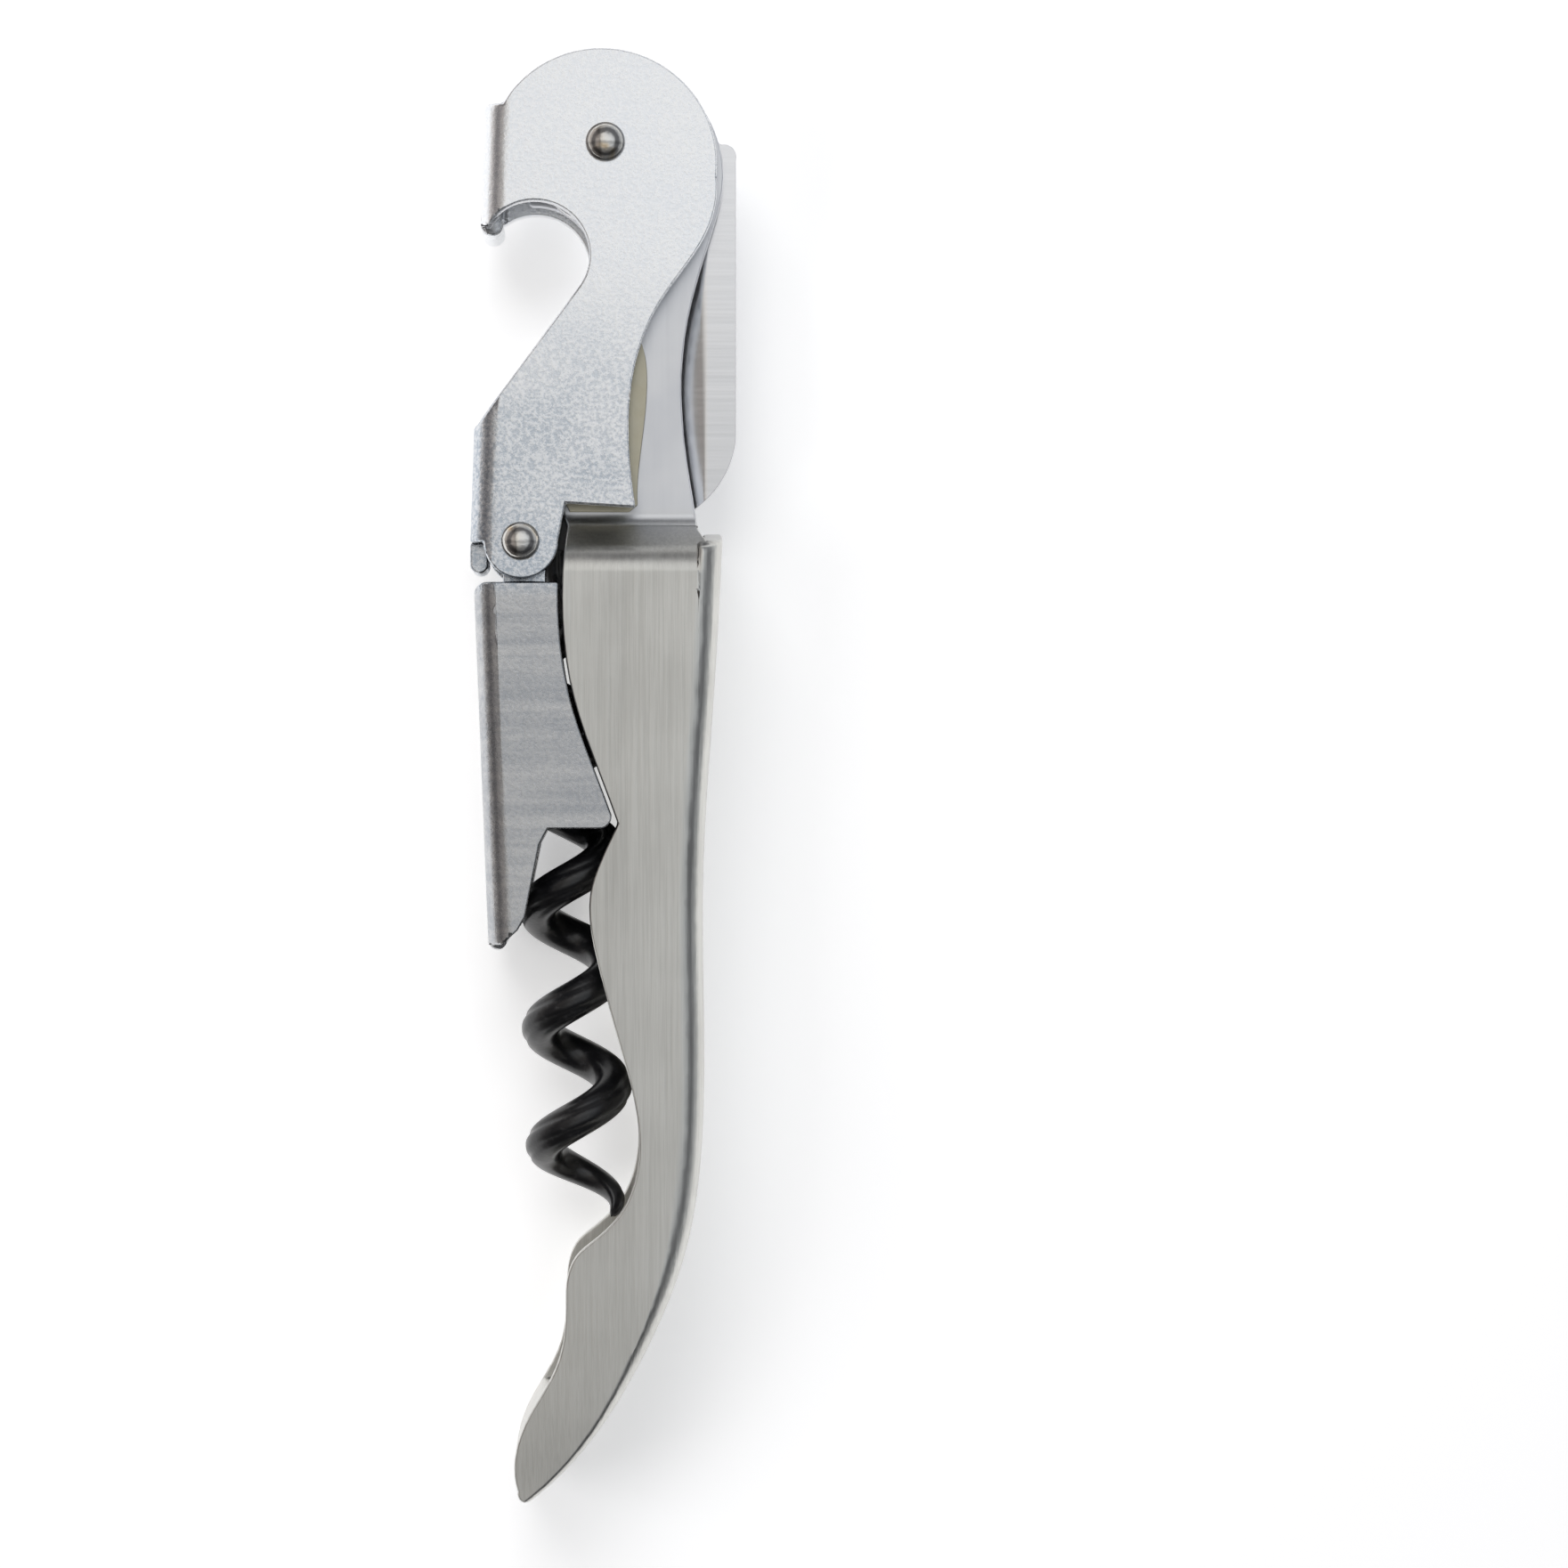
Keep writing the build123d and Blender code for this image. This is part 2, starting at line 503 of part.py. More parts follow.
# ---- place the origin under the middle of the closed corkscrew and write the pieces --------------
box = Compound(children=[Compound(piece.solids()) for piece in pieces.values()]).bounding_box()
seat = Pos(-box.center().X, -box.center().Y, -box.min.Z)
os.makedirs("parts", exist_ok=True)
for name, piece in pieces.items():
    export_step(seat * Compound(piece.solids()), f"parts/{name}.step")
    print(name, len(piece.solids()), round(piece.volume, 2))
print("origin in model", [round(v, 4) for v in (box.center().X, box.center().Y, box.min.Z)])
print("size", [round(v, 3) for v in box.size])
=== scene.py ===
# %% [markdown]
# # A lever corkscrew, made to look real around its CAD model
# The packed CAD model is the frame: it says where each piece is and what moves. This file gives
# each piece its looks. Everything is in metres, and a piece's place is in its mesh.

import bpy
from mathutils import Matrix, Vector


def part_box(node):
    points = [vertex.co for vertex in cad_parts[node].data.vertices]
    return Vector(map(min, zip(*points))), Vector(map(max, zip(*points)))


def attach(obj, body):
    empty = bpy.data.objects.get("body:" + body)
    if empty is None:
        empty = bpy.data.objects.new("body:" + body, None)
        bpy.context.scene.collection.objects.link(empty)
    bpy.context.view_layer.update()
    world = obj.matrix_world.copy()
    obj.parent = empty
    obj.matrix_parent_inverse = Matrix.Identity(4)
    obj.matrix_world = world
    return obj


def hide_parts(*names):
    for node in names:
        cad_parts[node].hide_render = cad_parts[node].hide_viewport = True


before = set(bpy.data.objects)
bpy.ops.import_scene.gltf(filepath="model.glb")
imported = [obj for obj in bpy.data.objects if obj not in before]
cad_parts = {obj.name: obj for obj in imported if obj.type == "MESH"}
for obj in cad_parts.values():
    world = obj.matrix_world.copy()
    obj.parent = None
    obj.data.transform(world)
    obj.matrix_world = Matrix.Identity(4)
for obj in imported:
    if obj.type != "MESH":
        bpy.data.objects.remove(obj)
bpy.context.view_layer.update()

# %% Helpers used all the way through
from math import atan, cos, degrees, pi, radians, sin

import bmesh
import bpy
import numpy as np
from mathutils import Matrix, Vector

MM = 0.001
scene = bpy.context.scene


def middle(node):
    """The centre of a CAD node's box: half of its two corners added up."""
    low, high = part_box(node)
    return (low + high) / 2


lever_pin = middle("lever_rivet")
hinge_pin = middle("hinge_rivet")
worm_pin = middle("worm_rivet")
print("lever rivet at", [round(v / MM, 2) for v in lever_pin], "mm")

# %% [markdown]
# ## The camera
# The corkscrew lies on its side and is seen from straight above, its head at the top. It stands a
# little left of the middle of the picture. The camera hangs over the corkscrew itself and is turned
# about two degrees to the right, so that the walls of the levers are seen as evenly as they should
# be; a lens shift would do the same here but would push the object out of the other views.

# %% Camera
near_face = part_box("upper_lever")[1].z
FIELD = 130.64 * MM          # width of the picture at the levers' near faces
CAMERA_HEIGHT = 0.36         # above those faces
aim = lever_pin + Vector((14.87, -53.67, 0)) * MM
aim.z = near_face
eye = Vector((lever_pin.x + 0.74 * MM, aim.y, near_face + CAMERA_HEIGHT))

lens = bpy.data.cameras.new("studio_camera")
lens.sensor_width = 36.0
lens.lens = 36.0 * (aim - eye).length / FIELD
lens.clip_start, lens.clip_end = 0.01, 20
camera = bpy.data.objects.new("studio_camera", lens)
camera.location = eye
forward = (aim - eye).normalized()
right = forward.cross(Vector((0, 1, 0))).normalized()
turn = Matrix((right, right.cross(forward), -forward)).transposed()
camera.rotation_euler = turn.to_euler()
scene.collection.objects.link(camera)
scene.camera = camera
print("lens", round(lens.lens, 1), "mm, turned", round(degrees(atan((aim.x - eye.x) / CAMERA_HEIGHT)), 2))

# %% [markdown]
# ## Light
# Bare steel has almost no colour of its own: it shows what stands around it. A studio for metal is
# a white tent with a few darker panels. Here the sky is that tent, worked out from the direction in
# three parts that are multiplied. Height gives a dark ring of panels part of the way down, which
# every bend in the sheet picks up as a dark line. The roof is brighter towards the head. A warm,
# darker panel stands on the side of the levers' folds. The two softboxes light the floor and the
# shadows only: the steel doesn't mirror them, because their square shape would show in the rivets.

# %% Shader maths as Python expressions


class Wire:
    """An output of a shader node. Arithmetic on wires adds the Math nodes that do it."""

    def __init__(self, tree, socket):
        self.tree, self.socket = tree, socket

    def node(self, kind, sockets=None, out=0, **settings):
        return add_node(self.tree, kind, sockets, out, **settings)

    def _math(self, operation, first, second):
        return self.node("ShaderNodeMath", {0: first, 1: second}, operation=operation)

    def __add__(self, other):
        return self._math("ADD", self, other)

    def __sub__(self, other):
        return self._math("SUBTRACT", self, other)

    def __rsub__(self, other):
        return self._math("SUBTRACT", other, self)

    def __mul__(self, other):
        return self._math("MULTIPLY", self, other)

    __radd__, __rmul__ = __add__, __mul__

    def between(self, low, high):
        """Rise smoothly from 0 at low to 1 at high, and stay there outside."""
        return self.node("ShaderNodeMapRange", {0: self, 1: low, 2: high, 3: 0.0, 4: 1.0},
                         interpolation_type="SMOOTHSTEP")


def add_node(tree, kind, sockets=None, out=0, stops=None, **settings):
    """Add a node: settings first, then its sockets' values or links. Returns one output's wire."""
    made = tree.nodes.new(kind)
    for key, value in settings.items():
        setattr(made, key, value)
    if stops:
        ramp = made.color_ramp.elements
        while len(ramp) < len(stops):
            ramp.new(0.5)
        for element, (place, shade) in zip(ramp, stops):
            element.position = place
            element.color = (*shade, 1)
    for key, value in (sockets or {}).items():
        target = made.inputs[key]
        if isinstance(value, Wire):
            tree.links.new(value.socket, target)
        else:
            target.default_value = value
    return Wire(tree, made.outputs[out])


print("Wire supports", [name for name in vars(Wire) if name.startswith("__")][3:])

# %% Studio sky
world = bpy.data.worlds.new("studio_tent")
world.use_nodes = True
tent = world.node_tree
tent.nodes.clear()
direction = add_node(tent, "ShaderNodeTexCoord", out="Generated")
sideways_share, along_share, up_share = (
    direction.node("ShaderNodeSeparateXYZ", {0: direction}, out=axis) for axis in "XYZ")
ring_of_panels = up_share.node("ShaderNodeValToRGB", {0: up_share}, stops=[
    (0.0, (0.70, 0.70, 0.70)), (0.28, (0.50, 0.50, 0.51)), (0.45, (0.16, 0.16, 0.17)),
    (0.68, (0.18, 0.18, 0.19)), (0.85, (0.88, 0.88, 0.89)), (0.94, (1, 1, 1)),
])
# the roof, from the tail's side (0) over the middle (0.5) to the head's side (1)
roof = up_share.node("ShaderNodeValToRGB", {0: along_share * 0.8 + 0.5}, stops=[
    (0.05, (0.16, 0.16, 0.16)), (0.2, (0.26, 0.26, 0.26)), (0.30, (0.50, 0.50, 0.50)),
    (0.37, (0.50, 0.50, 0.50)), (0.46, (0.33, 0.33, 0.33)), (0.50, (0.35, 0.35, 0.35)),
    (0.55, (0.44, 0.44, 0.44)), (0.62, (0.66, 0.66, 0.66)),
])
tint = up_share.node("ShaderNodeValToRGB", {0: sideways_share * 0.7 + 0.5}, stops=[
    (0.02, (1.0, 0.93, 0.88)), (0.13, (0.62, 0.56, 0.52)), (0.24, (0.36, 0.34, 0.32)),
    (0.36, (1.0, 0.97, 0.93)), (0.5, (0.97, 0.975, 0.98)), (0.8, (0.92, 0.96, 1.0)),
])
panels_on_roof = roof.node("ShaderNodeVectorMath", {0: roof, 1: ring_of_panels}, operation="MULTIPLY")
tinted = roof.node("ShaderNodeVectorMath", {0: panels_on_roof, 1: tint}, operation="MULTIPLY")
glow = tinted.node("ShaderNodeBackground", {"Color": tinted, "Strength": 1.6})
out_node = tent.nodes.new("ShaderNodeOutputWorld")
tent.links.new(glow.socket, out_node.inputs["Surface"])
scene.world = world

# %% Softboxes


def softbox(name, place, target, size, power, tint=(1, 1, 1)):
    """A square area light at place that faces target. The steel mirrors the tent, not the box."""
    lamp = bpy.data.lights.new(name, "AREA")
    lamp.size, lamp.energy, lamp.color = size, power, tint
    box = bpy.data.objects.new(name, lamp)
    box.location = place
    box.rotation_mode = "QUATERNION"
    box.rotation_quaternion = (Vector(target) - Vector(place)).to_track_quat("-Z", "Y")
    box.visible_glossy = False
    scene.collection.objects.link(box)
    return box


softbox("head_softbox", (-0.10, 0.42, 0.50), (0, 0.02, 0), 0.40, 1.6)
softbox("side_softbox", (-0.45, -0.05, 0.40), (0, 0, 0), 0.30, 0.8)
scene.view_settings.view_transform = "Standard"

# %% [markdown]
# ## The floor
# A sheet of white paper that runs past the edges of the picture, as a flat grid. The paper glows a
# little, as on a light table, which keeps it white and the shadows narrow.

# %% Meshes from numpy


def mesh_piece(name, points, faces, smooth=True):
    """A mesh object from an (n, 3) array of points and an array or list of faces."""
    mesh = bpy.data.meshes.new(name)
    mesh.from_pydata(np.asarray(points, float).tolist(), [], np.asarray(faces).tolist()
                     if isinstance(faces, np.ndarray) else faces)
    mesh.polygons.foreach_set("use_smooth", np.full(len(mesh.polygons), smooth))
    mesh.update()
    piece = bpy.data.objects.new(name, mesh)
    scene.collection.objects.link(piece)
    return piece


def grid_faces(rows, columns, wrap=False):
    """Quads of a rows x columns grid of points; with wrap, the last column joins the first."""
    across = columns if wrap else columns - 1
    r, c = np.meshgrid(np.arange(rows - 1), np.arange(across), indexing="ij")
    first = r * columns + c
    right = r * columns + (c + 1) % columns
    return np.stack([first, right, right + columns, first + columns], -1).reshape(-1, 4)


u, v = np.meshgrid(np.linspace(-3, 3, 13), np.linspace(-3, 3, 13), indexing="ij")
paper = mesh_piece("paper_floor", np.stack([u.ravel(), v.ravel(), np.zeros(u.size)], 1),
                   grid_faces(13, 13), smooth=False)
print("floor faces", len(paper.data.polygons))

# %% [markdown]
# ## Finishes
# All of the steels share one recipe: a metal with a base colour, a roughness that wanders a little,
# and a very fine bump. What tells them apart is the grain: brushed along the grip, mottled like
# orange peel on the rolled sheet of the levers, polished on the rivets and the blade.

# %% Recipe for a finish


class Finish:
    """A material, its tree and its Principled shader."""

    def __init__(self, name, **constants):
        self.material = bpy.data.materials.new(name)
        self.material.use_nodes = True
        self.tree = self.material.node_tree
        self.shader = self.tree.nodes["Principled BSDF"]
        for key, value in constants.items():
            self.shader.inputs[key.replace("_", " ")].default_value = value
        self.place = self.add("ShaderNodeTexCoord", out="Object")

    def add(self, kind, sockets=None, out=0, **settings):
        return add_node(self.tree, kind, sockets, out, **settings)

    def axis(self, name):
        return self.add("ShaderNodeSeparateXYZ", {0: self.place}, out=name)

    def grain(self, scale, detail=3.0, stretch=(1, 1, 1), rough=0.6, shift=(0, 0, 0)):
        """Noise of that many features per metre, longer along an axis whose stretch is small."""
        spot = self.add("ShaderNodeMapping", {"Vector": self.place, "Scale": stretch,
                                              "Location": shift})
        return self.add("ShaderNodeTexNoise", {"Vector": spot, "Scale": scale, "Detail": detail,
                                               "Roughness": rough})

    def mix(self, share, first, second):
        """A colour between two: share 0 is the first."""
        # a Mix node has one set of sockets per data type: 6, 7 and output 2 are the colours
        return self.add("ShaderNodeMix", {0: share, 6: first, 7: second}, out=2, data_type="RGBA")

    def feed(self, **wires):
        for key, wire in wires.items():
            self.tree.links.new(wire.socket, self.shader.inputs[key.replace("_", " ")])

    def bump(self, height, depth, strength=1.0):
        """Feed a bump whose height is given, scaled to a depth in metres."""
        self.feed(Normal=self.add("ShaderNodeBump", {"Height": height, "Distance": depth,
                                                     "Strength": strength}))


def colour(r, g, b):
    return (r, g, b, 1.0)


# %% Paper
white_paper = Finish("white_paper", Base_Color=colour(0.92, 0.92, 0.925), Roughness=0.9,
                     Emission_Color=colour(1, 1, 1), Emission_Strength=0.40)
paper.data.materials.append(white_paper.material)

# %% Rolled sheet, for the two levers
rolled = Finish("rolled_steel", Metallic=1.0)
peel = rolled.grain(3200, 4, rough=0.65)
clouds = rolled.grain(110, 3)
streaks = rolled.grain(900, 2, stretch=(0.05, 1, 1))
down_lever = rolled.axis("Y")
# Painted light: the colour is painted lighter towards the head as a painted highlight and darker down the
# shank as painted shade; the mottle in both is the sheet's own.
painted_shade_down_shank = 1 - down_lever.between(lever_pin.y - 26 * MM, lever_pin.y - 8 * MM)
on_boot = 1 - down_lever.between(hinge_pin.y - 5 * MM, hinge_pin.y - 3 * MM)
mottle = peel.between(0.38, 0.62) * 0.6 + clouds.between(0.3, 0.7) * 0.4
head_mottle_and_painted_light = rolled.mix(mottle, colour(0.80, 0.825, 0.86), colour(0.95, 0.955, 0.96))
shank_mottle_and_painted_shade = rolled.mix(mottle, colour(0.40, 0.45, 0.51), colour(0.86, 0.87, 0.885))
at_boot = rolled.mix(mottle * 0.5 + streaks.between(0.3, 0.7) * 0.5, colour(0.40, 0.42, 0.45),
                     colour(0.66, 0.66, 0.66))
rolled.feed(
    Base_Color=rolled.mix(on_boot, rolled.mix(painted_shade_down_shank, head_mottle_and_painted_light, shank_mottle_and_painted_shade), at_boot),
    Roughness=peel * 0.12 + clouds * 0.10 + 0.16,
)
rolled.bump(peel * 0.8 + streaks * 0.2, 0.03 * MM)

# %% Brushed sheet, for the grip and its frame
brushed = Finish("brushed_steel", Metallic=1.0, Anisotropic=0.4)
lines = brushed.grain(4200, 3, stretch=(1, 0.02, 1), rough=0.7)
long_lines = brushed.grain(1300, 2, stretch=(1, 0.012, 1))
patches = brushed.grain(90, 3)
down = brushed.axis("Y")
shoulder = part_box("blade_stop_plate")[1].y
on_grip = 1 - down.between(shoulder - 1 * MM, shoulder + 3 * MM)
warm = brushed.mix(lines.between(0.3, 0.7) * 0.6 + patches.between(0.3, 0.7) * 0.4,
                   colour(0.56, 0.555, 0.525), colour(0.74, 0.735, 0.70))
cool = brushed.mix(patches.between(0.3, 0.7), colour(0.70, 0.715, 0.75), colour(0.82, 0.83, 0.85))
brushed.feed(Base_Color=brushed.mix(on_grip, cool, warm),
             Roughness=lines * 0.14 + patches * 0.08 + 0.22)
brushed.bump((lines * 0.7 + long_lines * 0.3) * (on_grip * 0.8 + 0.2), 0.02 * MM)

# %% Polished steels, the spring plate, and the coated worm
polished = Finish("polished_steel", Metallic=1.0)
dents = polished.grain(900, 2)
polished.feed(Base_Color=polished.mix(polished.grain(500, 2).between(0.5, 0.75),
                                      colour(0.66, 0.645, 0.615), colour(0.62, 0.50, 0.34)),
              Roughness=dents * 0.14 + 0.06)
polished.bump(dents, 0.05 * MM)

blade_steel = Finish("blade_steel", Metallic=1.0)
across_lines = blade_steel.grain(1400, 2, stretch=(0.04, 1, 1))
blade_steel.feed(Base_Color=blade_steel.mix(across_lines, colour(0.70, 0.705, 0.72),
                                            colour(0.82, 0.82, 0.83)),
                 Roughness=across_lines * 0.10 + 0.12)
blade_steel.bump(across_lines, 0.006 * MM)

plain_steel = Finish("plain_steel", Metallic=1.0)
specks = plain_steel.grain(2200, 3)
plain_steel.feed(Base_Color=plain_steel.mix(specks, colour(0.50, 0.50, 0.51), colour(0.68, 0.68, 0.68)),
                 Roughness=specks * 0.2 + 0.25)
plain_steel.bump(specks, 0.02 * MM)

spring_steel = Finish("spring_steel", Metallic=1.0)
temper = spring_steel.grain(700, 3)
spring_steel.feed(Base_Color=spring_steel.mix(temper, colour(0.42, 0.39, 0.29), colour(0.62, 0.59, 0.48)),
                  Roughness=temper * 0.2 + 0.25)
spring_steel.bump(temper, 0.015 * MM)

coated = Finish("black_coating", Coat_Weight=0.25, Coat_Roughness=0.15)
skin = coated.grain(1800, 3)
coated.feed(Base_Color=coated.mix(skin.between(0.55, 0.8), colour(0.006, 0.006, 0.007),
                                  colour(0.03, 0.03, 0.032)),
            Roughness=skin * 0.2 + 0.22)
coated.bump(skin, 0.02 * MM)
print("finishes", [m.name for m in bpy.data.materials if m.users or m.use_nodes])

# %% [markdown]
# ## Folded sheet
# The grip with its frame, the two levers, the blade and the leaf are stamped and folded sheet. Their
# outlines come from the CAD nodes, which are sharp-edged. Real stamped edges are slightly broken
# and catch a thin line of light, so each piece is a merged copy of its node with its edges bevelled.
# A bevel overshoots where outline points crowd together, so every point is laid back onto the CAD
# surface. Weighted normals keep the flat faces flat. Very short edges can still look uneven.

# %% Sheet pieces


def sheet_piece(node, name, body, finish, edge=0.16 * MM, sharpest=32):
    """A copy of a CAD node: equal points merged, flat triangles joined, and every edge that turns
    by more than `sharpest` degrees broken by a narrow bevel."""
    work = bmesh.new()
    work.from_mesh(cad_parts[node].data)
    bmesh.ops.remove_doubles(work, verts=work.verts, dist=2e-6)
    bmesh.ops.dissolve_limit(work, angle_limit=radians(0.4), verts=work.verts, edges=work.edges)
    mesh = bpy.data.meshes.new(name)
    work.to_mesh(mesh)
    work.free()
    mesh.polygons.foreach_set("use_smooth", np.ones(len(mesh.polygons), bool))
    mesh.materials.clear()
    mesh.materials.append(finish.material)
    piece = bpy.data.objects.new(name, mesh)
    scene.collection.objects.link(piece)
    bevel = piece.modifiers.new("broken_edges", "BEVEL")
    bevel.width, bevel.segments, bevel.angle_limit = edge, 1, radians(sharpest)
    bevel.limit_method = "ANGLE"
    bevel.use_clamp_overlap = False
    # where outlines crowd together the bevel overshoots, so it is laid back onto the CAD surface
    lay_back = piece.modifiers.new("lay_back", "SHRINKWRAP")
    lay_back.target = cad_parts[node]
    lay_back.wrap_method = "NEAREST_SURFACEPOINT"
    bpy.context.view_layer.update()
    depsgraph = bpy.context.evaluated_depsgraph_get()
    mesh = bpy.data.meshes.new_from_object(piece.evaluated_get(depsgraph))
    mesh.name = name
    piece.modifiers.clear()
    piece.data = mesh
    flat = piece.modifiers.new("flat_faces", "WEIGHTED_NORMAL")
    flat.mode, flat.weight, flat.keep_sharp = "FACE_AREA", 50, True
    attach(piece, body)
    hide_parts(node)
    print(name, len(mesh.vertices), "points after merging")
    return piece


sheet_piece("handle_body", "grip_and_frame", "handle", brushed)
sheet_piece("upper_lever", "upper_lever_sheet", "upper_lever", rolled)
sheet_piece("lower_lever", "lower_lever_sheet", "lower_lever", rolled)
sheet_piece("knife_blade", "folding_blade", "knife", blade_steel, 0.05 * MM, 25)
sheet_piece("friction_leaf", "spring_leaf", "handle", spring_steel, 0.06 * MM)

# %% [markdown]
# ## Rivets
# A rivet head is a dome hammered over the sheet. It is a surface of revolution: a profile of radii
# and heights, turned about the pin. The dome follows a quarter of an ellipse, and a soft
# bump gives it the dents of the hammer.

# %% Domed rivets


def turned(profile, centre, sides=64):
    """Turn an (n, 2) profile of radius and height about Z. Point = centre + (r cos a, r sin a, h)."""
    angle = np.linspace(0, 2 * pi, sides, endpoint=False)
    radius, height_ = profile[:, :1], profile[:, 1:]
    x = centre.x + radius * np.cos(angle)
    y = centre.y + radius * np.sin(angle)
    z = centre.z + height_ * np.ones(sides)
    return np.stack([x, y, z], -1).reshape(-1, 3), grid_faces(len(profile), sides, wrap=True)


def rivet_piece(node, name, body, pin_radius, head_radius, dome):
    """Both heads and the pin. Dome: radius = R sin(t), height = H cos(t) for t to 90 degrees."""
    low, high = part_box(node)
    centre = (low + high) / 2
    t = np.linspace(0.02, pi / 2, 18)
    arc = np.stack([head_radius * np.sin(t), high.z - centre.z - dome + dome * np.cos(t)], 1)
    top_seat = high.z - centre.z - dome
    side = np.array([[head_radius * 0.97, top_seat - 0.04 * MM], [pin_radius, top_seat - 0.04 * MM]])
    upper_half = np.vstack([[[0.0, arc[0, 1]]], arc, side])
    lower_half = upper_half[::-1] * [1, -1]
    points, faces = turned(np.vstack([upper_half, lower_half]), centre)
    piece = mesh_piece(name, points, faces)
    bpy.context.view_layer.update()
    work = bmesh.new()
    work.from_mesh(piece.data)
    bmesh.ops.remove_doubles(work, verts=work.verts, dist=1e-7)
    bmesh.ops.recalc_face_normals(work, faces=work.faces)
    work.to_mesh(piece.data)
    work.free()
    piece.data.materials.append(polished.material)
    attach(piece, body)
    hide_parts(node)
    return piece


rivet_piece("lever_rivet", "lever_rivet_domes", "handle", 1.3 * MM, 1.65 * MM, 1.1 * MM)
rivet_piece("hinge_rivet", "hinge_rivet_domes", "upper_lever", 1.1 * MM, 1.6 * MM, 1.1 * MM)

# %% [markdown]
# ## The worm
# The worm is round wire wound into a helix round an empty middle and ground to a point. Its black
# coating shows the helix as long highlights, and two fine grooves run along the outside of the
# wire. The wire is swept as a grid: one parameter runs along the helix, the other round the wire.

# %% Worm
worm_low, worm_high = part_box("worm")
TILT = radians(1.8)
WIRE, PITCH, COIL = 1.6 * MM, 10 * MM, 3.0 * MM
HELIX_TOP, LEAD_IN, WORM_LENGTH = 20.7 * MM, 5.2 * MM, 69.91 * MM
TIP_ANGLE, TIP_TAPER = radians(392), radians(220)
STEM_TOP = 13.6 * MM
TIP_WIRE, TIP_POINT = 0.12 * MM, 0.25 * MM     # radius at the tip, and the point beyond it
ROUND = 48                                     # points round the wire
GROOVE_AT, GROOVE_WIDE, GROOVE_DEEP = 0.55, 0.16, 0.09    # radians, radians, share of the radius
worm_mid_z = (worm_low.z + worm_high.z) / 2
depth = np.concatenate([np.linspace(STEM_TOP, HELIX_TOP - LEAD_IN - 1 * MM, 8),
                        np.linspace(HELIX_TOP - LEAD_IN, WORM_LENGTH, 420)])


def coil_line(depth_):
    """Centre line: angle grows 360 degrees per pitch once the lead-in is over, and the radius
    rises smoothly from nothing to the coil's over the lead-in."""
    start = TIP_ANGLE - 2 * pi * (WORM_LENGTH - HELIX_TOP) / PITCH
    past = depth_ - HELIX_TOP
    soft = 1.2 * MM
    turned_ = start + 2 * pi / PITCH * soft * np.log1p(np.exp(np.clip(past / soft, -40, 40)))
    end_fix = start + 2 * pi / PITCH * past
    turned_ = np.where(past > 6 * soft, end_fix, turned_)
    s_ = np.clip((depth_ - HELIX_TOP + LEAD_IN) / (LEAD_IN + 1.0 * MM), 0, 1)
    radius_ = COIL * s_ * s_ * (3 - 2 * s_)
    return radius_, turned_


def on_worm(radius_, angle_, depth_):
    """From radius, angle and depth to the frame: down the worm's own tilted axis from its rivet."""
    x, y, z = radius_ * np.cos(angle_), -depth_, radius_ * np.sin(angle_)
    c, s = cos(TILT), sin(TILT)
    return np.stack([worm_pin.x + c * x - s * y, worm_pin.y + s * x + c * y, worm_mid_z + z], -1)


radius, angle = coil_line(depth)
line = on_worm(radius, angle, depth)
tangent = np.gradient(line, axis=0)
tangent /= np.linalg.norm(tangent, axis=1, keepdims=True)
outward = on_worm(np.full_like(radius, 1.0), angle, depth) - on_worm(np.zeros_like(radius), angle, depth)
outward -= tangent * np.sum(outward * tangent, 1, keepdims=True)
outward /= np.linalg.norm(outward, axis=1, keepdims=True)
sideways = np.cross(tangent, outward)
share = np.clip((angle - (TIP_ANGLE - TIP_TAPER)) / TIP_TAPER, 0, 1)
wire = TIP_WIRE + (WIRE - TIP_WIRE) * np.sqrt(np.clip(1 - share, 0, 1)) * (1 - 0.06 * share)
ring = np.linspace(0, 2 * pi, ROUND, endpoint=False)
groove = sum(np.exp(-((ring - where) / GROOVE_WIDE) ** 2) for where in (GROOVE_AT, 2 * pi - GROOVE_AT))
rounds = wire[:, None] * (1 - GROOVE_DEEP * groove)
surface = (line[:, None] + outward[:, None] * (rounds * np.cos(ring))[..., None]
           + sideways[:, None] * (rounds * np.sin(ring))[..., None])
points = np.vstack([surface.reshape(-1, 3), line[:1], line[-1:] + tangent[-1:] * TIP_POINT])
here = np.arange(ROUND)
beside = (here + 1) % ROUND
last_ring = (len(line) - 1) * ROUND
start_cap = np.stack([np.full(ROUND, len(points) - 2), beside, here], 1)
tip_cap = np.stack([np.full(ROUND, len(points) - 1), last_ring + here, last_ring + beside], 1)
faces = grid_faces(len(line), ROUND, wrap=True).tolist() + start_cap.tolist() + tip_cap.tolist()
worm = mesh_piece("coated_worm", points, faces)
print("worm points", len(points), "z", surface[..., 2].min() / MM, surface[..., 2].max() / MM)

# %% [markdown]
# The upper end of the wire is flattened into a shank with an eye for its rivet. It hides between the
# frame's cheeks when the corkscrew is closed and shows when the worm is swung out. It is a flat
# outline, straight sides below and an arc round the pin, made solid between two heights. Its edges
# are rounded with a bevel, as pressed wire has no sharp ones.

# %% The worm's flat shank and eye


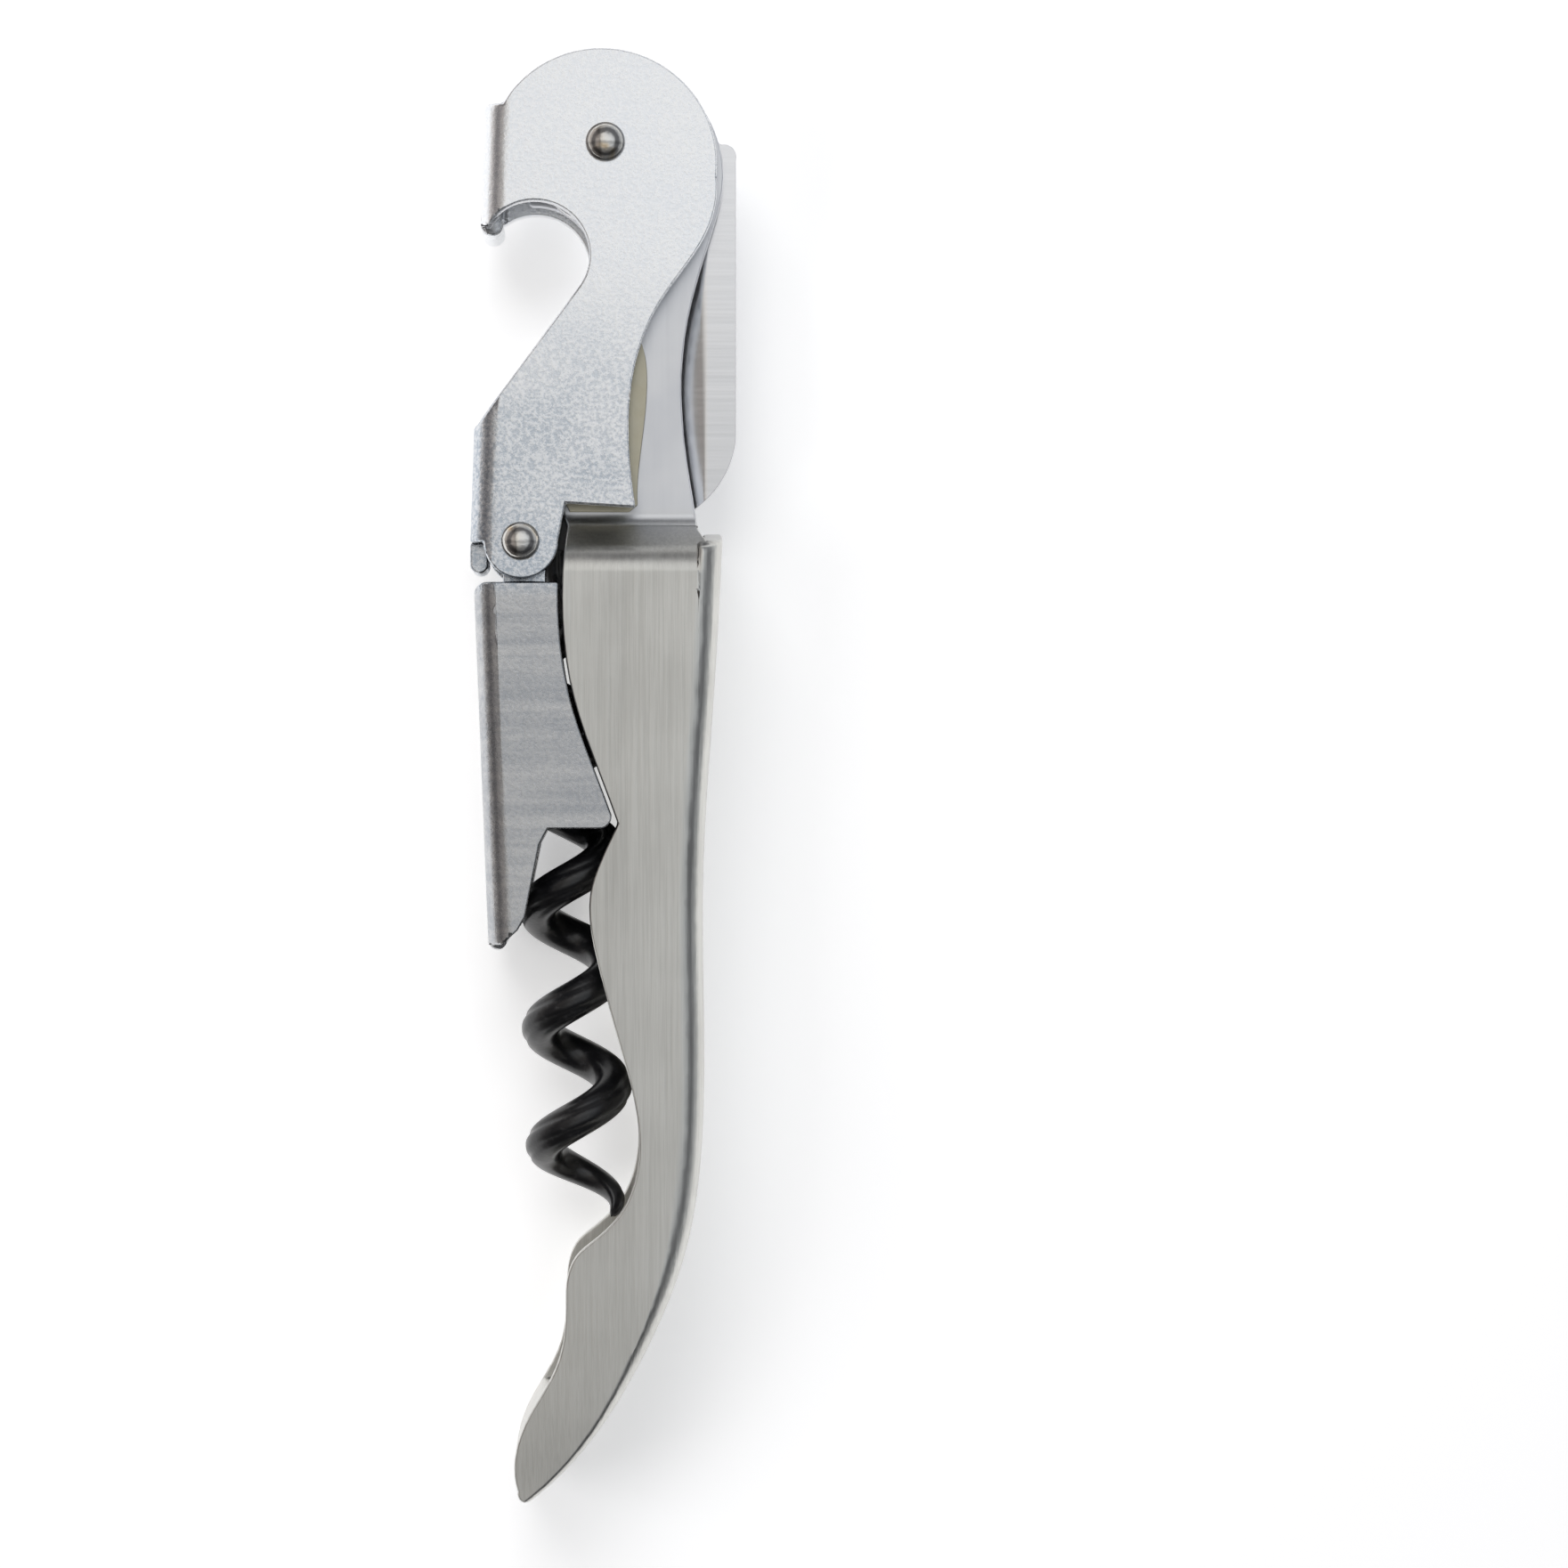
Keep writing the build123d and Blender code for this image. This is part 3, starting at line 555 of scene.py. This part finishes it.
def outline_prism(name, outline, low, high):
    """A flat outline, an (n, 2) array, made solid between two heights."""
    count = len(outline)
    both = np.vstack([np.column_stack([outline, np.full(count, z)]) for z in (low, high)])
    ring_ = np.arange(count)
    sides_ = np.stack([ring_, (ring_ + 1) % count, (ring_ + 1) % count + count, ring_ + count], 1)
    return both, [*sides_.tolist(), ring_[::-1].tolist(), (ring_ + count).tolist()]


EYE, SHANK_HALF, FLAT_HALF = 2.6 * MM, 1.45 * MM, 1.18 * MM
swing = np.arcsin(SHANK_HALF / EYE)
arc_ = np.linspace(-pi / 2 + swing, 1.5 * pi - swing, 40)
flat_outline = np.vstack([np.column_stack([EYE * np.cos(arc_), EYE * np.sin(arc_)]),
                          [[-SHANK_HALF, -STEM_TOP - 0.8 * MM], [SHANK_HALF, -STEM_TOP - 0.8 * MM]]])
c, s = cos(TILT), sin(TILT)
placed = np.column_stack([worm_pin.x + c * flat_outline[:, 0] - s * flat_outline[:, 1],
                          worm_pin.y + s * flat_outline[:, 0] + c * flat_outline[:, 1]])
shank_points, shank_faces = outline_prism("eye", placed, worm_mid_z - FLAT_HALF, worm_mid_z + FLAT_HALF)
shank = mesh_piece("worm_eye_and_shank", shank_points, shank_faces, smooth=False)
edge_round = shank.modifiers.new("rounded_edges", "BEVEL")
edge_round.width, edge_round.segments, edge_round.angle_limit = 0.2 * MM, 2, radians(35)
for piece in (worm, shank):
    work = bmesh.new()
    work.from_mesh(piece.data)
    bmesh.ops.recalc_face_normals(work, faces=work.faces)
    work.to_mesh(piece.data)
    work.free()
    piece.data.materials.append(coated.material)
    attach(piece, "worm")
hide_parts("worm")

# %% [markdown]
# ## Small pieces
# Washers, the stop plate and the worm's rivet are the right shape in the CAD model already, so they
# stay as they are. Only their finish is new: it goes into the object's own material slot, which
# leaves the mesh alone.

# %% CAD nodes that stay, with new finishes
for node in ("blade_stop_plate", "knife_washer", "lever_washer_near", "lever_washer_far", "worm_rivet"):
    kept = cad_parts[node]
    kept.material_slots[0].link = "OBJECT"
    kept.material_slots[0].material = (polished if node == "worm_rivet" else plain_steel).material
print("kept", [n for n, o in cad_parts.items() if not o.hide_render])

# %% [markdown]
# ## Size
# The looks may not change the size.
